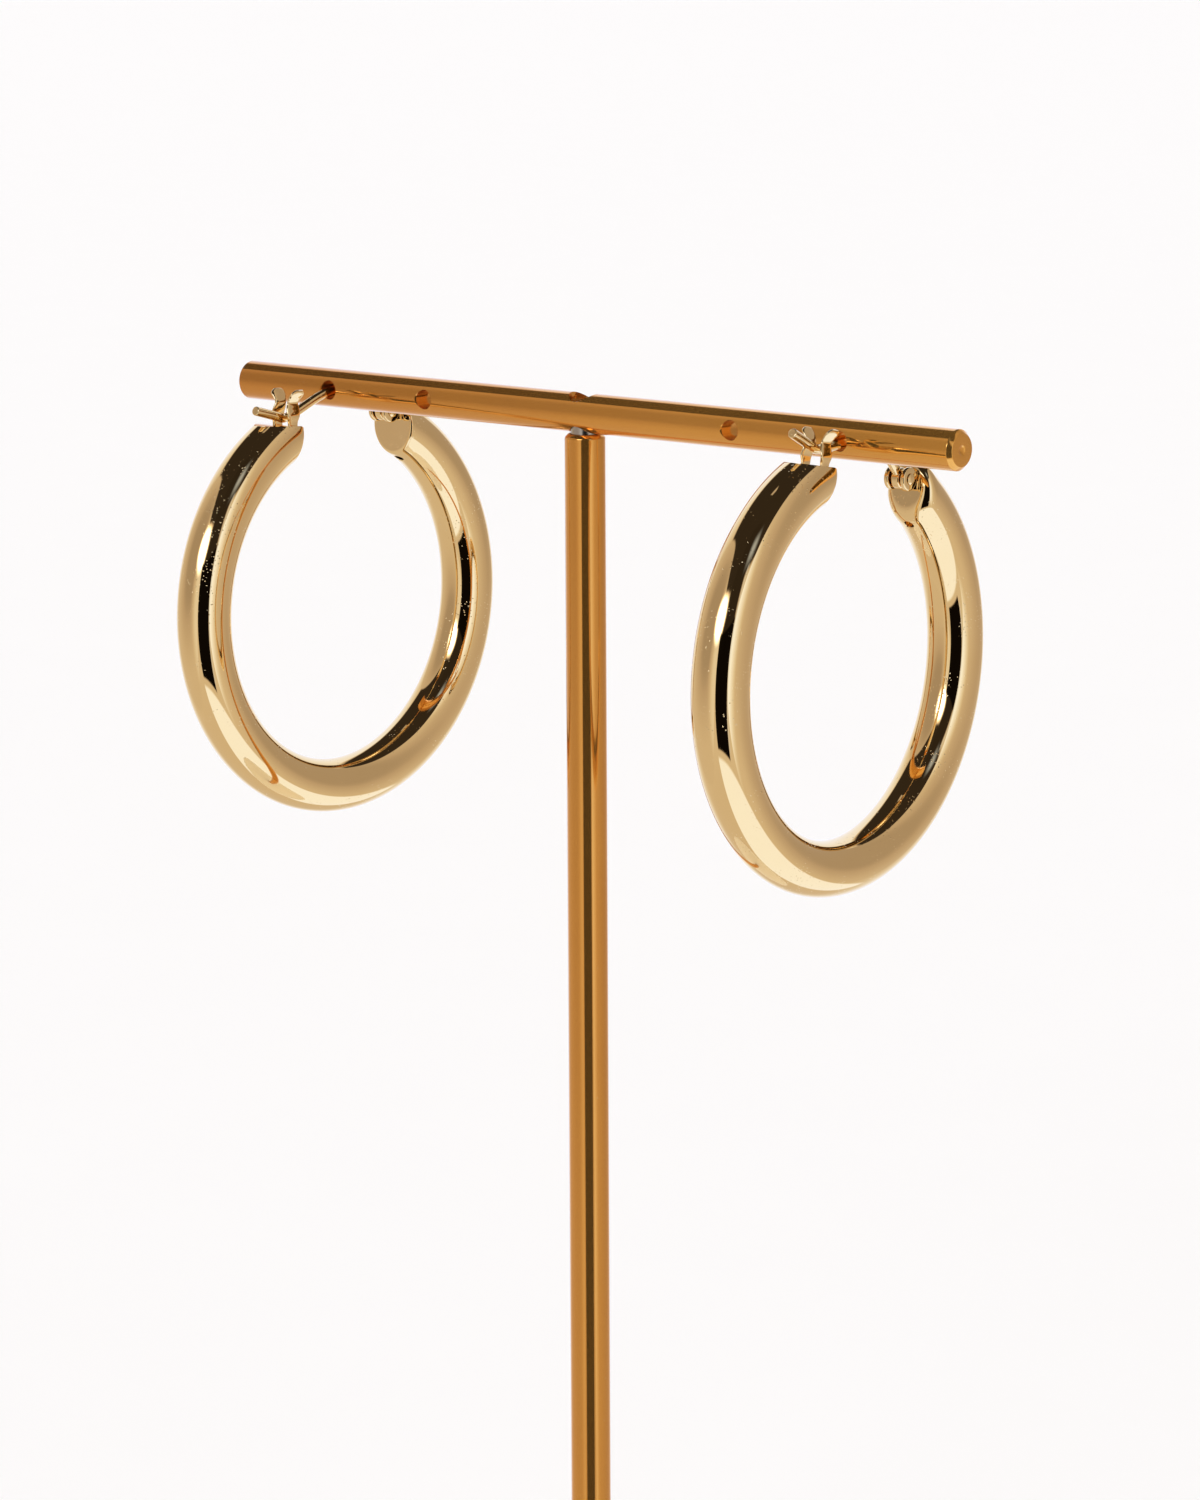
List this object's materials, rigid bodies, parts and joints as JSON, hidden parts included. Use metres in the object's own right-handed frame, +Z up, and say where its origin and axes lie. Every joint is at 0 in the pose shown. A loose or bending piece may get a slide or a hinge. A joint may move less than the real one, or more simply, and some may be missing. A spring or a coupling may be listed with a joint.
{
  "type": "pair of hoop earrings on a t-bar stand",
  "caption": "Pair of polished gold tube hoop earrings with hinged ear wires and snap catches, hanging from the cross holes of a T-bar display stand with a round base.",
  "frame": {"origin": "middle of the underside of the stand's round base, on the surface that it stands on", "axes": "+X along the crossbar, +Z up along the post, -Y towards the side that the catches face"},
  "size_m": [0.0926, 0.07, 0.1401],
  "materials": {
    "polished_gold": "mirror-polished pale gold plate",
    "anodised_gold": "satin orange-gold anodised, fine handling scratches",
    "white_lacquer": "plain off-white lacquer over aluminium",
    "screw_steel": "bright steel"
  },
  "bodies": {
    "stand": {"base_plate": "white_lacquer", "post": "anodised_gold", "crossbar": "anodised_gold", "bar_screw": "screw_steel", "ear_wire_left": "polished_gold", "ear_wire_right": "polished_gold"},
    "hoop_left": {"hoop_left": "polished_gold", "hinge_rivet_left": "polished_gold"},
    "hoop_right": {"hoop_right": "polished_gold", "hinge_rivet_right": "polished_gold"}
  },
  "joints": [
    {"name": "hinge_left", "type": "hinge", "parent": "stand", "child": "hoop_left", "pos_m": [-0.03318, 0.00652, 0.13504], "axis": [0.9997, -0.0243, 0.0056], "range_deg": [0, 60]},
    {"name": "hinge_right", "type": "hinge", "parent": "stand", "child": "hoop_right", "pos_m": [0.0329, 0.00835, 0.13333], "axis": [0.9991, 0.0417, -0.0037], "range_deg": [0, 60]}
  ]
}
